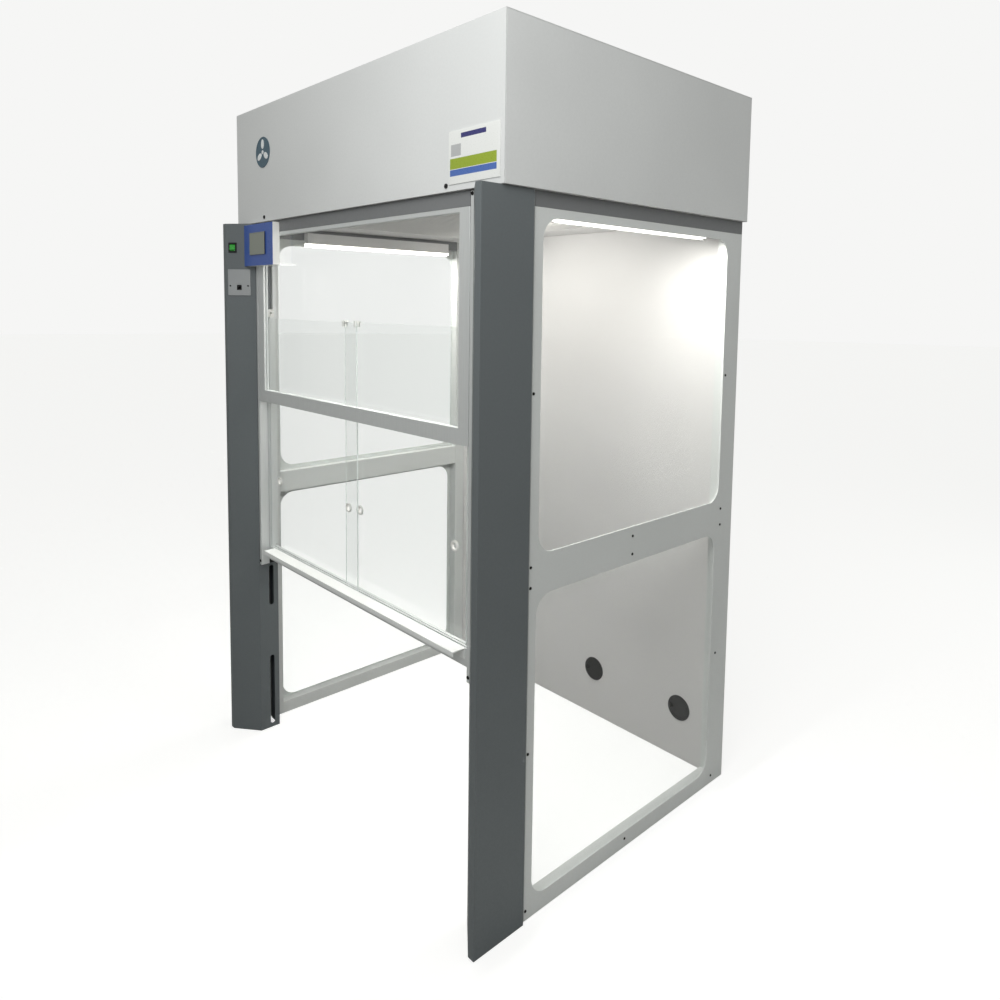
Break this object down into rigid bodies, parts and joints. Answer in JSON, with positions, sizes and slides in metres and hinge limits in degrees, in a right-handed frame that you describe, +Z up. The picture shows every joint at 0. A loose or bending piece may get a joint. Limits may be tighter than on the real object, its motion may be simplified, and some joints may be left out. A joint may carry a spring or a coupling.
{
  "type": "fume hood",
  "caption": "Floor-standing walk-in fume hood with a filtered fan plenum, glazed sides, a counterbalanced sash with sliding panes, and service posts.",
  "frame": {"origin": "on the floor, under the middle of the whole hood's width and depth", "axes": "+Z up, -Y is the front where the sash is, +X is the right-hand side seen from the front"},
  "size_m": [1.445, 1.147, 2.3602],
  "materials": {
    "post_paint": "satin powder coat, slate grey",
    "band_paint": "satin powder coat, mid grey",
    "frame_paint": "fine-texture powder coat, light grey",
    "plenum_paint": "smooth powder coat, pale grey",
    "liner_paint": "smooth powder coat, white",
    "anodised": "satin anodised",
    "ledge_coat": "powder coated, near white",
    "pane_glass": "clear, polished edges",
    "zinc_steel": "zinc plated",
    "wire_rope": "stranded",
    "motor_iron": "painted, satin",
    "weight_iron": "as cast, painted",
    "filter_media": "pleated non-woven media in a card frame",
    "light_diffuser": "opal",
    "stop_rubber": "matt",
    "box_plastic": "moulded, satin",
    "panel_blue": "printed film, satin",
    "board_green": "solder mask",
    "screen_grey": "gloss",
    "black_plastic": "moulded, fine grain",
    "rocker_green": "translucent, gloss",
    "plate_grey": "moulded, satin",
    "cap_white": "moulded, satin",
    "badge_slate": "satin",
    "sign_white": "printed laminate",
    "black_steel": "black oxide"
  },
  "bodies": {
    "root": {"post_cover_left": "post_paint", "post_cover_right": "post_paint", "frame_posts": "frame_paint", "side_rails": "frame_paint", "side_panel_left": "frame_paint", "side_panel_right": "frame_paint", "side_windows": "pane_glass", "back_panel": "liner_paint", "header_bands": "band_paint", "plenum_wrap": "plenum_paint", "plenum_roof": "plenum_paint", "ceiling_panel": "liner_paint", "intake_grille": "liner_paint", "prefilter": "filter_media", "carbon_filter": "filter_media", "fan_deck": "zinc_steel", "fan_motor": "motor_iron", "motor_bridge": "zinc_steel", "exhaust_spigot": "zinc_steel", "led_housings": "liner_paint", "led_diffusers": "light_diffuser", "screen_frame": "anodised", "screen_glass": "pane_glass", "sash_guides": "anodised", "rubber_stops": "stop_rubber", "control_box": "box_plastic", "control_panel": "panel_blue", "control_board": "board_green", "touch_screen": "screen_grey", "rocker_bezel": "black_plastic", "socket_plate": "plate_grey", "socket_port": "black_plastic", "pulley_brackets": "zinc_steel", "cable_bends": "wire_rope", "grommet_rings": "black_plastic", "hinge_pins": "zinc_steel", "sash_cables": "wire_rope", "weight_cables": "wire_rope", "panel_screws": "black_steel"},
    "sash": {"sash_rail": "anodised", "sash_ledge": "ledge_coat", "sash_stiles": "anodised", "sash_caps": "cap_white"},
    "pane_left": {"pane_left": "pane_glass", "pane_fittings_left": "cap_white"},
    "pane_right": {"pane_right": "pane_glass", "pane_fittings_right": "cap_white"},
    "counterweight_left": {"weight_left": "weight_iron"},
    "counterweight_right": {"weight_right": "weight_iron"},
    "pulley_left": {"pulley_left": "black_plastic"},
    "pulley_right": {"pulley_right": "black_plastic"},
    "fascia": {"fascia": "plenum_paint", "badge": "badge_slate", "sign_plate": "sign_white"},
    "latch_left": {"latch_left": "black_plastic"},
    "latch_right": {"latch_right": "black_plastic"},
    "impeller": {"fan_impeller": "zinc_steel"},
    "rocker": {"power_rocker": "rocker_green"},
    "grommet_cap_left": {"grommet_cap_left": "black_plastic"},
    "grommet_cap_right": {"grommet_cap_right": "black_plastic"}
  },
  "joints": [
    {"name": "sash_lift", "type": "slide", "parent": "root", "child": "sash", "axis": [0, 0, 1], "range_m": [0, 0.3], "deforming": ["sash_cables"]},
    {"name": "pane_left_slide", "type": "slide", "parent": "sash", "child": "pane_left", "axis": [1, 0, 0], "range_m": [0, 0.56]},
    {"name": "pane_right_slide", "type": "slide", "parent": "sash", "child": "pane_right", "axis": [-1, 0, 0], "range_m": [-0.056, 0.51]},
    {"name": "counterweight_left_slide", "type": "slide", "parent": "root", "child": "counterweight_left", "axis": [0, 0, -1], "range_m": [0, 0.3], "deforming": ["weight_cables"]},
    {"name": "counterweight_right_slide", "type": "slide", "parent": "root", "child": "counterweight_right", "axis": [0, 0, -1], "range_m": [0, 0.3]},
    {"name": "pulley_left_spin", "type": "hinge", "parent": "root", "child": "pulley_left", "pos_m": [-0.6301, -0.4555, 1.956], "axis": [0, -1, 0], "range_deg": [0, 450]},
    {"name": "pulley_right_spin", "type": "hinge", "parent": "root", "child": "pulley_right", "pos_m": [0.6301, -0.4555, 1.956], "axis": [0, 1, 0], "range_deg": [0, 450]},
    {"name": "fascia_hinge", "type": "hinge", "parent": "root", "child": "fascia", "pos_m": [0, -0.4933, 2.303], "axis": [-1, 0, 0], "range_deg": [0, 80]},
    {"name": "latch_left_turn", "type": "hinge", "parent": "fascia", "child": "latch_left", "pos_m": [-0.508, -0.5115, 1.92], "axis": [0, 1, 0], "range_deg": [0, 90]},
    {"name": "latch_right_turn", "type": "hinge", "parent": "fascia", "child": "latch_right", "pos_m": [0.508, -0.5115, 1.92], "axis": [0, 1, 0], "range_deg": [0, 90]},
    {"name": "fan_spin", "type": "hinge", "parent": "root", "child": "impeller", "pos_m": [0, 0.0585, 2.135], "axis": [0, 0, 1], "continuous": true},
    {"name": "rocker_tilt", "type": "hinge", "parent": "root", "child": "rocker", "pos_m": [-0.67462, -0.55288, 1.819], "axis": [0.7752, 0.6318, 0], "range_deg": [0, 16]},
    {"name": "grommet_cap_left_turn", "type": "hinge", "parent": "root", "child": "grommet_cap_left", "pos_m": [0.145, 0.5425, 0.187], "axis": [0, 1, 0], "range_deg": [-180, 180]},
    {"name": "grommet_cap_right_turn", "type": "hinge", "parent": "root", "child": "grommet_cap_right", "pos_m": [0.5425, 0.5425, 0.187], "axis": [0, 1, 0], "range_deg": [-180, 180]}
  ],
  "couplings": [
    {"joint": "counterweight_left_slide", "follows": "sash_lift", "ratio": 1},
    {"joint": "counterweight_right_slide", "follows": "sash_lift", "ratio": 1},
    {"joint": "pulley_left_spin", "follows": "sash_lift", "rad_per_m": 25.974},
    {"joint": "pulley_right_spin", "follows": "sash_lift", "rad_per_m": 25.974}
  ]
}
